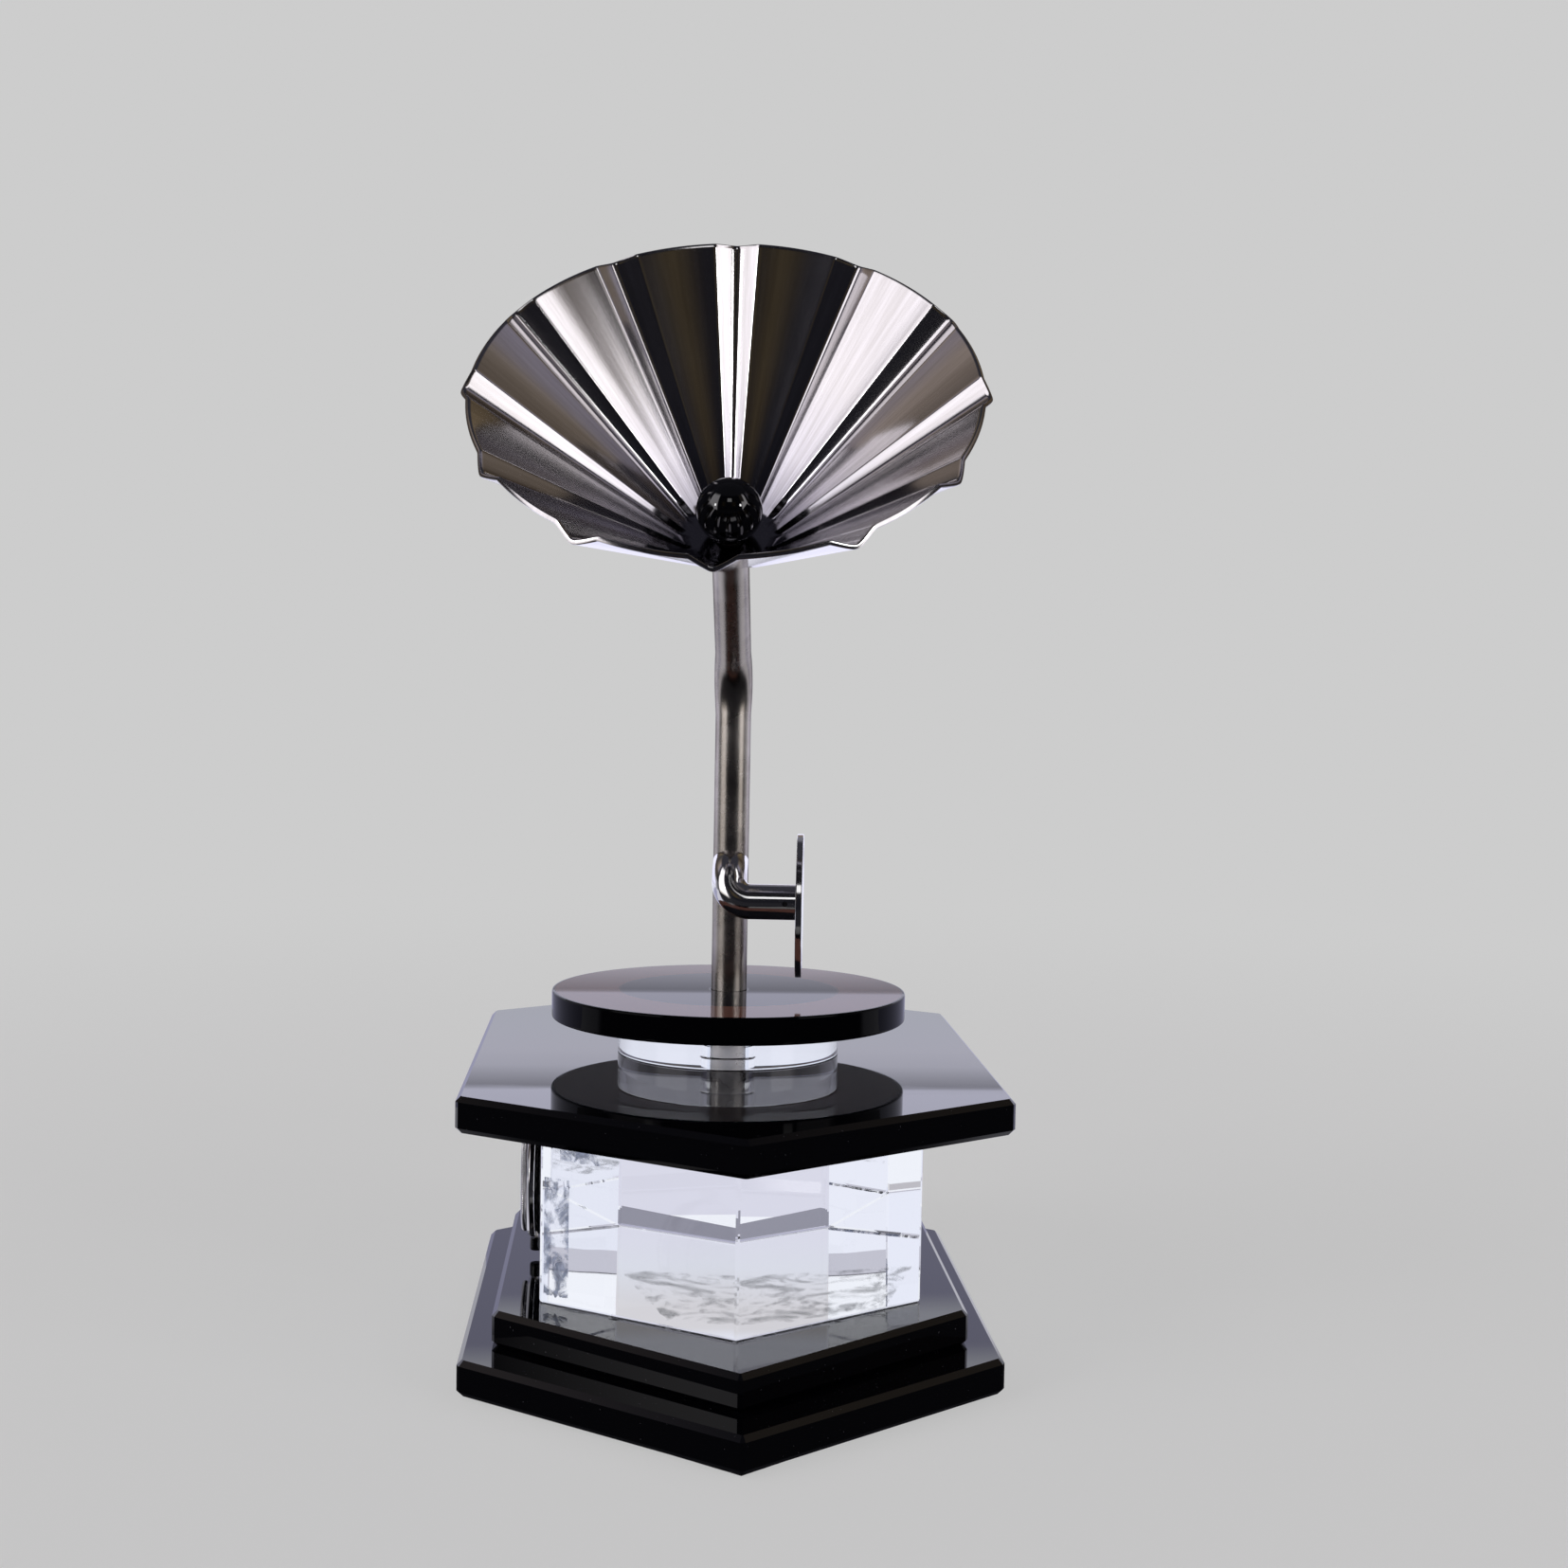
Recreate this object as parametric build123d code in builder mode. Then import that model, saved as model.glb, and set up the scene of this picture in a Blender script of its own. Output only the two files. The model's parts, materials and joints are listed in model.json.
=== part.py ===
"""Crystal desk gramophone: black glass plates, a clear block, a clock and a swivelling horn.

Millimetres, +Z up, horn facing -Y, clock facing -X. The origin is the middle of the underside of
the felt that the piece stands on.
"""
from build123d import *
from math import cos, pi, radians, sin
import os

# ---------------------------------------------------------------- driving dimensions
# Every glass plate is a long hexagon with a point at the front and a point at the back.
PLATE_THICKNESS = 7.5
PLATE_CHAMFER = 1.1
CORNER_FACET = 0.7
BASE_HALF_WIDTH, BASE_HALF_SIDE, BASE_POINT = 56.5, 51.0, 45.0
STEP_HALF_WIDTH, STEP_HALF_SIDE, STEP_POINT = 50.0, 42.0, 41.5
DECK_HALF_WIDTH, DECK_HALF_SIDE, DECK_POINT = 57.0, 54.0, 39.5
BLOCK_HALF_WIDTH, BLOCK_HALF_SIDE, BLOCK_POINT = 40.5, 36.0, 27.0
BLOCK_HEIGHT = 40.0
BLOCK_CHAMFER = 0.4
FELT_THICKNESS = 1.0
FELT_INSET = 3.0

DRUM_RADIUS, DRUM_HEIGHT = 25.0, 8.0
RECORD_RADIUS, RECORD_THICKNESS = 40.0, 6.0
RECORD_CHAMFER = 0.5

TUBE_RADIUS, TUBE_WALL = 4.0, 0.8
RUNNING_CLEARANCE = 0.05
SEAT_DEPTH = 5.0
SEAT_DISC_THICKNESS = 0.5
LOOSE_GAP = 0.1

# The horn stands turned a little to the clock's side on its swivel.
HORN_TURN = -5.0
TUBE_BEND_HEIGHT = 70.5
TUBE_BEND_RADIUS = 20.0
TUBE_NECK_LENGTH = 39.4
HORN_ELEVATION = 46.5
PLUG_LENGTH = 8.0

# The bell is a pleated cone of sheet on a flat floor, with a V rib between each two petals.
PETALS = 12
FLANGE_THICKNESS, FLANGE_RADIUS, FLANGE_CHAMFER = 1.5, 7.6, 0.6
FLOOR_RADIUS, RIM_RADIUS, HORN_DEPTH = 8.3, 51.0, 39.6
SHEET = 1.0
RIB_WIDTH_RIM, RIB_WIDTH_FLOOR = 9.0, 2.2
RIB_DEPTH_RIM, RIB_DEPTH_FLOOR = 2.5, 0.5
RIM_OVERRUN = 1.12
RIM_TRIM = 14.0
WASHER_THICKNESS, WASHER_RADIUS = 0.5, 3.2
BALL_RADIUS, BALL_FLAT = 7.0, 0.75
STUD_RADIUS, STUD_IN_BALL, STUD_IN_PLUG = 1.5, 5.0, 7.0

# The tonearm is an elbow of the same tube, saddled on the horn tube; heights above the record.
ARM_ROOT_HEIGHT = 29.5
ARM_KNEE_HEIGHT, ARM_KNEE_FORWARD = 27.1, 5.0
ARM_HEIGHT = 20.9
ARM_FORWARD = 7.6
ARM_REACH = 14.6
ARM_BEND_RADIUS = 4.7
SPIGOT_LENGTH = 4.0
BOSS_RADIUS, BOSS_THICKNESS = 3.95, 0.5
SOUND_BOX_RADIUS, SOUND_BOX_THICKNESS = 16.0, 1.4
SOUND_BOX_DROP = 0.7
SOUND_BOX_CHAMFER = 0.15
GRUB_RADIUS, GRUB_RECESS = 0.6, 0.3

# The clock is a small round quartz head on the left side of the block, its crown below.
# Levels are measured outwards from the block.
CLOCK_Z = 34.5
CASE_RADIUS, CASE_WALL = 13.0, 0.8
TAPE_MARGIN = 1.5
MOVEMENT_RADIUS = 11.0
DIAL_RADIUS = 12.1
BEZEL_RADIUS, LENS_RADIUS = 13.6, 10.4
BEZEL_LIP, LENS_SEAT = 0.5, 0.6
ROPE_WIRE = 0.75
CASE_LEVEL, FLOOR_LEVEL, MOVEMENT_LEVEL = 0.5, 1.1, 3.3
DIAL_LEVEL, HOUR_LEVEL, MINUTE_LEVEL = 3.6, 3.75, 4.05
BEZEL_START, BEZEL_FRONT = 2.4, 4.1
LENS_LEVEL, LENS_FRONT = 4.6, 5.2
POST_RADIUS = 0.35
HAND_THICKNESS = 0.15
HAND_EYE = 0.85
HOUR_HAND_LENGTH, HOUR_HAND_WIDTH, HOUR_HAND_ANGLE = 5.4, 0.9, 305.0
MINUTE_HAND_LENGTH, MINUTE_HAND_WIDTH, MINUTE_HAND_ANGLE = 7.7, 0.7, 60.0
HAND_TAIL = 1.7
MARK_RADIUS, MARK_LENGTH, MARK_WIDTH, MARK_HEIGHT = 8.7, 1.6, 0.45, 0.1
BATTERY_RADIUS, BATTERY_THICKNESS = 3.4, 1.65
BATTERY_SPOT = (5.2, 3.2)
CROWN_LEVEL, CROWN_RADIUS, CROWN_LENGTH, CROWN_GAP = 2.35, 1.45, 3.0, 0.4
CROWN_FLUTES, FLUTE_RADIUS, CROWN_CAP = 18, 0.12, 1.0
STEM_RADIUS, STEM_INNER_END = 0.45, 7.0
STEM_NOTCH = 0.8

# ---------------------------------------------------------------- heights of the stack
base_bottom = FELT_THICKNESS
step_bottom = base_bottom + PLATE_THICKNESS
block_bottom = step_bottom + PLATE_THICKNESS
deck_bottom = block_bottom + BLOCK_HEIGHT
drum_bottom = deck_bottom + PLATE_THICKNESS
record_bottom = drum_bottom + DRUM_HEIGHT
record_top = record_bottom + RECORD_THICKNESS
seat_bottom = drum_bottom - SEAT_DEPTH
tube_foot = seat_bottom + SEAT_DISC_THICKNESS + RUNNING_CLEARANCE
bend_z = record_top + TUBE_BEND_HEIGHT


def turned(x, y, z):
    """A point or direction of the horn assembly, turned on the swivel."""
    return Vector(x, y, z).rotate(Axis.Z, HORN_TURN)


lean = radians(HORN_ELEVATION)
sideways = turned(1, 0, 0)
forward = turned(0, -1, 0)
horn_axis = turned(0, -cos(lean), sin(lean))
bend_corner = Vector(0, 0, bend_z)
neck_end = bend_corner + horn_axis * TUBE_NECK_LENGTH

horn_plane = Plane(origin=neck_end, x_dir=sideways, z_dir=horn_axis)
clock_centre = Vector(-BLOCK_HALF_WIDTH, 0, CLOCK_Z)
clock_plane = Plane(origin=clock_centre, x_dir=(0, -1, 0), z_dir=(-1, 0, 0))
crown_centre = clock_centre + Vector(-CROWN_LEVEL, 0, 0)
crown_plane = Plane(origin=crown_centre, x_dir=(1, 0, 0), z_dir=(0, 0, -1))


# ---------------------------------------------------------------- shared shapes
def disc(plane, level, thickness, radius, hole=0.0):
    """A round plate, its near face at a level along the normal of the plane."""
    with BuildPart() as plate:
        with BuildSketch(plane.offset(level)):
            Circle(radius)
            if hole:
                Circle(hole, mode=Mode.SUBTRACT)
        extrude(amount=thickness)
    return plate


def bore(plane, level, depth, radius):
    """Cut a round hole in the part being built."""
    with BuildSketch(plane.offset(level)) as hole:
        Circle(radius)
    extrude(hole.sketch, amount=depth, mode=Mode.SUBTRACT)


def hexagon_slab(bottom, thickness, half_width, half_side, point, edge=0.0, facet=0.0):
    """A long hexagonal slab with chamfered faces and small facets down its corners."""
    tip = half_side + point
    corners = [
        (0, -tip),
        (half_width, -half_side),
        (half_width, half_side),
        (0, tip),
        (-half_width, half_side),
        (-half_width, -half_side),
    ]
    with BuildPart() as slab:
        with BuildSketch(Plane.XY.offset(bottom)):
            with BuildLine():
                Polyline(*corners, close=True)
            make_face()
        extrude(amount=thickness)
        if facet:
            chamfer(slab.edges().filter_by(Axis.Z), facet)
        if edge:
            chamfer(slab.faces().filter_by(Axis.Z).edges(), edge)
    return slab


def glass_plate(bottom, half_width, half_side, point):
    """One of the three black glass plates."""
    return hexagon_slab(
        bottom, PLATE_THICKNESS, half_width, half_side, point, PLATE_CHAMFER, CORNER_FACET
    )


# ---------------------------------------------------------------- glass stack
base_felt = hexagon_slab(
    0.0, FELT_THICKNESS, BASE_HALF_WIDTH - FELT_INSET, BASE_HALF_SIDE - FELT_INSET, BASE_POINT
)
base_plate = glass_plate(base_bottom, BASE_HALF_WIDTH, BASE_HALF_SIDE, BASE_POINT)
step_plate = glass_plate(step_bottom, STEP_HALF_WIDTH, STEP_HALF_SIDE, STEP_POINT)
crystal_block = hexagon_slab(
    block_bottom, BLOCK_HEIGHT, BLOCK_HALF_WIDTH, BLOCK_HALF_SIDE, BLOCK_POINT, BLOCK_CHAMFER
)

with BuildPart() as deck_plate:
    add(glass_plate(deck_bottom, DECK_HALF_WIDTH, DECK_HALF_SIDE, DECK_POINT).part)
    # Blind seat for the foot of the horn tube.
    bore(Plane.XY, seat_bottom, SEAT_DEPTH, TUBE_RADIUS + RUNNING_CLEARANCE)

tube_bore = TUBE_RADIUS + RUNNING_CLEARANCE
seat_disc = disc(Plane.XY, seat_bottom, SEAT_DISC_THICKNESS, TUBE_RADIUS - LOOSE_GAP)
record_drum = disc(Plane.XY, drum_bottom, DRUM_HEIGHT, DRUM_RADIUS, tube_bore)

with BuildPart() as record_disc:
    add(disc(Plane.XY, record_bottom, RECORD_THICKNESS, RECORD_RADIUS, tube_bore).part)
    outer_edges = record_disc.edges().filter_by(GeomType.CIRCLE).group_by(SortBy.RADIUS)[-1]
    chamfer(outer_edges, RECORD_CHAMFER)

# ---------------------------------------------------------------- horn tube and flange
with BuildPart() as horn_tube:
    with BuildLine() as tube_path:
        FilletPolyline((0, 0, tube_foot), bend_corner, neck_end, radius=TUBE_BEND_RADIUS)
    with BuildSketch(Plane.XY.offset(tube_foot)):
        Circle(TUBE_RADIUS)
        Circle(TUBE_RADIUS - TUBE_WALL, mode=Mode.SUBTRACT)
    sweep(path=tube_path.line)

tube_plug = disc(horn_plane, -PLUG_LENGTH, PLUG_LENGTH, TUBE_RADIUS - TUBE_WALL, STUD_RADIUS)

with BuildPart() as horn_flange:
    add(disc(horn_plane, 0, FLANGE_THICKNESS, FLANGE_RADIUS, STUD_RADIUS).part)
    rear_face = horn_flange.faces().sort_by(Axis(neck_end, horn_axis))[0]
    chamfer(rear_face.outer_wire().edges(), FLANGE_CHAMFER)

# ---------------------------------------------------------------- horn bell
bell_floor = FLANGE_THICKNESS
bell_rim = bell_floor + HORN_DEPTH
slope = (RIM_RADIUS - FLOOR_RADIUS) / HORN_DEPTH
# A wall of normal thickness t is t * wall_stretch wide along the radius of a level cut.
wall_stretch = (1 + slope * slope) ** 0.5
radial_sheet = SHEET * wall_stretch


def polar(radius, angle):
    """A point at an angle from the uppermost rib of the bell."""
    return (radius * sin(angle), radius * cos(angle))


def pleated_outline(share, extra):
    """Draw a level cut of the bell, share of the way up the wall, grown by extra along the radius."""
    radius = FLOOR_RADIUS + (RIM_RADIUS - FLOOR_RADIUS) * share + extra
    width = RIB_WIDTH_FLOOR + (RIB_WIDTH_RIM - RIB_WIDTH_FLOOR) * share
    depth = (RIB_DEPTH_FLOOR + (RIB_DEPTH_RIM - RIB_DEPTH_FLOOR) * share) * wall_stretch
    half = width / 2 / radius
    pitch = 2 * pi / PETALS
    for petal in range(PETALS):
        rib = petal * pitch
        left = polar(radius, rib - half)
        bottom = polar(radius + depth, rib)
        right = polar(radius, rib + half)
        middle = polar(radius, rib + pitch / 2)
        following = polar(radius, rib + pitch - half)
        Line(left, bottom)
        Line(bottom, right)
        ThreePointArc(right, middle, following)


def pleated_cone(extra):
    """The solid inside the pleated wall, run on past the rim and grown by extra."""
    with BuildPart() as cone:
        for share in (0.0, RIM_OVERRUN):
            with BuildSketch(horn_plane.offset(bell_floor + HORN_DEPTH * share)):
                with BuildLine():
                    pleated_outline(share, extra)
                make_face()
        loft(ruled=True)
    return cone


with BuildPart() as horn_bell:
    add(pleated_cone(radial_sheet).part)
    add(pleated_cone(0.0).part, mode=Mode.SUBTRACT)
    # Flat floor that closes the narrow end, with a hole for the stud.
    with BuildSketch(horn_plane.offset(bell_floor)):
        Circle(FLOOR_RADIUS + radial_sheet / 2)
    extrude(amount=SHEET)
    bore(horn_plane, bell_floor, SHEET, STUD_RADIUS + LOOSE_GAP)
    # Trim the rim along a cone square to the wall.
    outside = RIM_TRIM / wall_stretch
    inside = outside / 2
    with BuildSketch(Plane(origin=neck_end, x_dir=sideways, z_dir=horn_plane.y_dir * -1)):
        with BuildLine():
            Polyline(
                (0, 0),
                (RIM_RADIUS + outside, 0),
                (RIM_RADIUS + outside, bell_rim - outside * slope),
                (RIM_RADIUS - inside, bell_rim + inside * slope),
                (0, bell_rim + inside * slope),
                close=True,
            )
        make_face()
    revolve(axis=Axis(neck_end, horn_axis), mode=Mode.INTERSECT)

washer_level = bell_floor + SHEET
ball_level = washer_level + WASHER_THICKNESS
throat_washer = disc(horn_plane, washer_level, WASHER_THICKNESS, WASHER_RADIUS, STUD_RADIUS)

with BuildPart() as throat_ball:
    with Locations(neck_end + horn_axis * (ball_level + BALL_RADIUS - BALL_FLAT)):
        Sphere(BALL_RADIUS)
    # A small flat where the ball sits on its washer, and the hole for the stud.
    split(bisect_by=horn_plane.offset(ball_level), keep=Keep.TOP)
    bore(horn_plane, ball_level, STUD_IN_BALL, STUD_RADIUS)

ball_stud = disc(horn_plane, -STUD_IN_PLUG, STUD_IN_PLUG + ball_level + STUD_IN_BALL, STUD_RADIUS)

# ---------------------------------------------------------------- tonearm and sound box
arm_z = record_top + ARM_HEIGHT
arm_root = turned(0, 0, record_top + ARM_ROOT_HEIGHT)
arm_knee = turned(0, -ARM_KNEE_FORWARD, record_top + ARM_KNEE_HEIGHT)
arm_corner = turned(0, -ARM_FORWARD, arm_z)
arm_end = turned(ARM_REACH, -ARM_FORWARD, arm_z)
arm_plane = Plane(origin=arm_end, x_dir=forward * -1, z_dir=sideways)
grub_centre = turned(ARM_REACH - SPIGOT_LENGTH / 2, -ARM_FORWARD, arm_z)
grub_plane = Plane(origin=grub_centre, x_dir=sideways, z_dir=forward)

with BuildPart() as tonearm:
    with BuildLine() as arm_path:
        FilletPolyline(arm_root, arm_knee, arm_corner, arm_end, radius=ARM_BEND_RADIUS)
    with BuildSketch(Plane(origin=arm_root, z_dir=arm_path.line % 0)):
        Circle(TUBE_RADIUS - RUNNING_CLEARANCE)
        Circle(TUBE_RADIUS - TUBE_WALL, mode=Mode.SUBTRACT)
    sweep(path=arm_path.line)
    # Saddle cut where the elbow is brazed on the horn tube.
    bore(Plane.XY, record_top, 2 * ARM_ROOT_HEIGHT, TUBE_RADIUS)
    split(bisect_by=Plane(origin=(0, 0, 0), x_dir=sideways, z_dir=forward), keep=Keep.TOP)
    # Cross hole for the grub screw.
    bore(grub_plane, 0, 2 * TUBE_RADIUS, GRUB_RADIUS)

with BuildPart() as sound_box_spigot:
    add(disc(arm_plane, -SPIGOT_LENGTH, SPIGOT_LENGTH, TUBE_RADIUS - TUBE_WALL).part)
    add(disc(arm_plane, 0, BOSS_THICKNESS, BOSS_RADIUS).part)
    bore(grub_plane, 0, 2 * TUBE_RADIUS, GRUB_RADIUS)

with BuildPart() as sound_box_disc:
    with BuildSketch(arm_plane.offset(BOSS_THICKNESS)):
        with Locations((0, -SOUND_BOX_DROP)):
            Circle(SOUND_BOX_RADIUS)
    extrude(amount=SOUND_BOX_THICKNESS)
    chamfer(sound_box_disc.edges(), SOUND_BOX_CHAMFER)

sound_box_screw = disc(grub_plane, 0, TUBE_RADIUS - GRUB_RECESS, GRUB_RADIUS)

# ---------------------------------------------------------------- clock
clock_tape = disc(clock_plane, 0, CASE_LEVEL, CASE_RADIUS - TAPE_MARGIN)
stem_bore = STEM_RADIUS + RUNNING_CLEARANCE

with BuildPart() as clock_case:
    add(disc(clock_plane, CASE_LEVEL, MOVEMENT_LEVEL - CASE_LEVEL, CASE_RADIUS).part)
    bore(clock_plane, FLOOR_LEVEL, MOVEMENT_LEVEL - FLOOR_LEVEL, CASE_RADIUS - CASE_WALL)
    bore(crown_plane, 0, CASE_RADIUS + 1, stem_bore)

battery_plane = Plane(origin=clock_plane.from_local_coords(BATTERY_SPOT), z_dir=(-1, 0, 0))
with BuildPart() as clock_movement:
    add(disc(clock_plane, FLOOR_LEVEL, MOVEMENT_LEVEL - FLOOR_LEVEL, MOVEMENT_RADIUS).part)
    # Battery pocket, stem hole, and the post on which both hands turn.
    bore(battery_plane, FLOOR_LEVEL, BATTERY_THICKNESS + LOOSE_GAP, BATTERY_RADIUS + LOOSE_GAP)
    bore(crown_plane, 0, MOVEMENT_RADIUS + 1, stem_bore)
    post_end = MINUTE_LEVEL + HAND_THICKNESS + LOOSE_GAP
    add(disc(clock_plane, MOVEMENT_LEVEL, post_end - MOVEMENT_LEVEL, POST_RADIUS).part)

clock_battery = disc(battery_plane, FLOOR_LEVEL, BATTERY_THICKNESS, BATTERY_RADIUS)

dial_thickness = DIAL_LEVEL - MOVEMENT_LEVEL
dial_hole = POST_RADIUS + 2 * LOOSE_GAP
clock_dial = disc(clock_plane, MOVEMENT_LEVEL, dial_thickness, DIAL_RADIUS, dial_hole)

with BuildPart() as hour_marks:
    with BuildSketch(clock_plane.offset(DIAL_LEVEL)):
        with PolarLocations(MARK_RADIUS, 12):
            Rectangle(MARK_LENGTH, MARK_WIDTH)
    extrude(amount=MARK_HEIGHT)


def clock_hand(level, length, width, angle):
    """A plain tapered hand that points at an angle clockwise from the top of the dial."""
    corners = [
        (-width / 2, -HAND_TAIL),
        (width / 2, -HAND_TAIL),
        (width / 2, 0),
        (width / 5, length),
        (-width / 5, length),
        (-width / 2, 0),
    ]
    outline = [Vector(x, y).rotate(Axis.Z, -angle) for x, y in corners]
    with BuildPart() as hand:
        with BuildSketch(clock_plane.offset(level)):
            with BuildLine():
                Polyline(*outline, close=True)
            make_face()
            Circle(HAND_EYE)
            Circle(POST_RADIUS + RUNNING_CLEARANCE, mode=Mode.SUBTRACT)
        extrude(amount=HAND_THICKNESS)
    return hand


hour_hand = clock_hand(HOUR_LEVEL, HOUR_HAND_LENGTH, HOUR_HAND_WIDTH, HOUR_HAND_ANGLE)
minute_hand = clock_hand(MINUTE_LEVEL, MINUTE_HAND_LENGTH, MINUTE_HAND_WIDTH, MINUTE_HAND_ANGLE)

lip_radius = LENS_RADIUS + BEZEL_LIP
seat_radius = LENS_RADIUS - LENS_SEAT
with BuildPart() as clock_bezel:
    # Skirt round the case, the ring that traps the dial, and the lip that holds the lens.
    add(disc(clock_plane, BEZEL_START, DIAL_LEVEL - BEZEL_START, BEZEL_RADIUS, CASE_RADIUS).part)
    add(disc(clock_plane, DIAL_LEVEL, BEZEL_FRONT - DIAL_LEVEL, BEZEL_RADIUS, seat_radius).part)
    add(disc(clock_plane, BEZEL_FRONT, LENS_LEVEL - BEZEL_FRONT, lip_radius, seat_radius).part)
    add(disc(clock_plane, LENS_LEVEL, LENS_FRONT - LENS_LEVEL, lip_radius, LENS_RADIUS).part)
    bore(crown_plane, 0, BEZEL_RADIUS + 1, STEM_NOTCH)

with BuildPart() as bezel_rope:
    with BuildSketch(Plane(origin=clock_centre, x_dir=(0, -1, 0), z_dir=(0, 0, 1))):
        with Locations((lip_radius + ROPE_WIRE, -BEZEL_FRONT - ROPE_WIRE)):
            Circle(ROPE_WIRE)
    revolve(axis=Axis(clock_centre, (-1, 0, 0)))

clock_lens = disc(clock_plane, LENS_LEVEL, LENS_FRONT - LENS_LEVEL, LENS_RADIUS)

crown_start = BEZEL_RADIUS + CROWN_GAP
socket_depth = CROWN_LENGTH - CROWN_CAP
with BuildPart() as clock_crown:
    with BuildSketch(crown_plane.offset(crown_start)):
        Circle(CROWN_RADIUS)
        with PolarLocations(CROWN_RADIUS, CROWN_FLUTES):
            Circle(FLUTE_RADIUS, mode=Mode.SUBTRACT)
    extrude(amount=CROWN_LENGTH)
    bore(crown_plane, crown_start, socket_depth, STEM_RADIUS)

stem_length = crown_start + socket_depth - STEM_INNER_END
crown_stem = disc(crown_plane, STEM_INNER_END, stem_length, STEM_RADIUS)

# ---------------------------------------------------------------- export
nodes = {
    "base_felt": base_felt,
    "base_plate": base_plate,
    "step_plate": step_plate,
    "crystal_block": crystal_block,
    "deck_plate": deck_plate,
    "seat_disc": seat_disc,
    "record_drum": record_drum,
    "record_disc": record_disc,
    "horn_tube": horn_tube,
    "tube_plug": tube_plug,
    "horn_flange": horn_flange,
    "horn_bell": horn_bell,
    "throat_washer": throat_washer,
    "throat_ball": throat_ball,
    "ball_stud": ball_stud,
    "tonearm": tonearm,
    "sound_box_spigot": sound_box_spigot,
    "sound_box_disc": sound_box_disc,
    "sound_box_screw": sound_box_screw,
    "clock_tape": clock_tape,
    "clock_case": clock_case,
    "clock_movement": clock_movement,
    "clock_battery": clock_battery,
    "clock_dial": clock_dial,
    "hour_marks": hour_marks,
    "hour_hand": hour_hand,
    "minute_hand": minute_hand,
    "clock_bezel": clock_bezel,
    "bezel_rope": bezel_rope,
    "clock_lens": clock_lens,
    "clock_crown": clock_crown,
    "crown_stem": crown_stem,
}
os.makedirs("parts", exist_ok=True)
for name, node in nodes.items():
    node.part.label = name
    export_step(node.part, f"parts/{name}.step")
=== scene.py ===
"""Looks of the crystal desk gramophone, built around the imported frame.

Shapes are given in millimetres; the studio and all textures are in metres.
"""

import json
from math import asin, cos, pi, radians, sin, sqrt, tan

import bmesh
import bpy
from mathutils import Matrix, Vector, noise


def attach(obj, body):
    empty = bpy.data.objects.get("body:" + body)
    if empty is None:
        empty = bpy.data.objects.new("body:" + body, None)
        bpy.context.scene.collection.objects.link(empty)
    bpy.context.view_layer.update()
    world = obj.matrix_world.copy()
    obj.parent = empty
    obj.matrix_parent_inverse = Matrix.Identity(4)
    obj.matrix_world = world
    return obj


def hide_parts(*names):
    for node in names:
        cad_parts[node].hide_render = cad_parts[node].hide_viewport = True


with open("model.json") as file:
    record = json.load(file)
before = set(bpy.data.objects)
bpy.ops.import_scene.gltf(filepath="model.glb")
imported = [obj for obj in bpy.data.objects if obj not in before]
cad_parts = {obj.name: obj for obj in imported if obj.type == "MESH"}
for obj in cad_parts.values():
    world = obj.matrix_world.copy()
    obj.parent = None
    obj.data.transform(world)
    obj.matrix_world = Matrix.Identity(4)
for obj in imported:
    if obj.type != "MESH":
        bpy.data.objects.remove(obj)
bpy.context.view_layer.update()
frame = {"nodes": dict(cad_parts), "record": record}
nodes = frame["nodes"]
MM = 0.001
WHOLE_TURN = 2 * pi

# ---------------------------------------------------------------- sizes shared with the CAD
# Lengths are in mm and angles in degrees.
HORN_TURN = -5.0
HORN_ELEVATION = 46.5
BEND_Z = 148.0
BEND_RADIUS = 20.0
NECK_LENGTH = 39.4
TUBE_RADIUS, TUBE_INNER = 4.0, 3.2
TUBE_FOOT = 59.05
RECORD_BOTTOM, RECORD_TOP = 71.5, 77.5
RECORD_RADIUS, DRUM_RADIUS, DRUM_BOTTOM = 40.0, 25.0, 63.5
BLOCK_BOTTOM, BLOCK_TOP = 16.0, 56.0
BLOCK_HALF_WIDTH, BLOCK_HALF_SIDE, BLOCK_POINT = 40.5, 36.0, 27.0
FELT_HALF_WIDTH, FELT_HALF_SIDE, FELT_TIP = 53.5, 48.0, 93.0
FLANGE_THICKNESS, STUD_BORE = 1.5, 1.5
FLOOR_RADIUS, RIM_RADIUS, HORN_DEPTH, SHEET = 8.3, 51.0, 39.6, 1.0
RIB_WIDTH_RIM, RIB_WIDTH_FLOOR = 9.0, 2.2
RIB_DEPTH_RIM, RIB_DEPTH_FLOOR = 2.5, 0.5
PETALS = 12
BALL_RADIUS, BALL_FLAT, WASHER = 7.0, 0.75, 0.5
CLOCK_Z, CROWN_BEHIND = 34.5, 2.35
ARM_Z, ARM_FORWARD, ARM_REACH = 98.4, 7.6, 14.6

turn = Matrix.Rotation(radians(HORN_TURN), 3, "Z")
lean = radians(HORN_ELEVATION)
sideways = turn @ Vector((1, 0, 0))
forward = turn @ Vector((0, -1, 0))
up = Vector((0, 0, 1))
horn_axis = turn @ Vector((0, -cos(lean), sin(lean)))
bend_corner = Vector((0, 0, BEND_Z))
neck_end = bend_corner + horn_axis * NECK_LENGTH


def frame_matrix(origin, x_dir, z_dir):
    """Matrix of a frame with its own x and z directions, in mm."""
    z = Vector(z_dir).normalized()
    x = Vector(x_dir).normalized()
    y = z.cross(x)
    rotation = Matrix((x, y, z)).transposed().to_4x4()
    return Matrix.Translation(Vector(origin)) @ rotation


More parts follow.
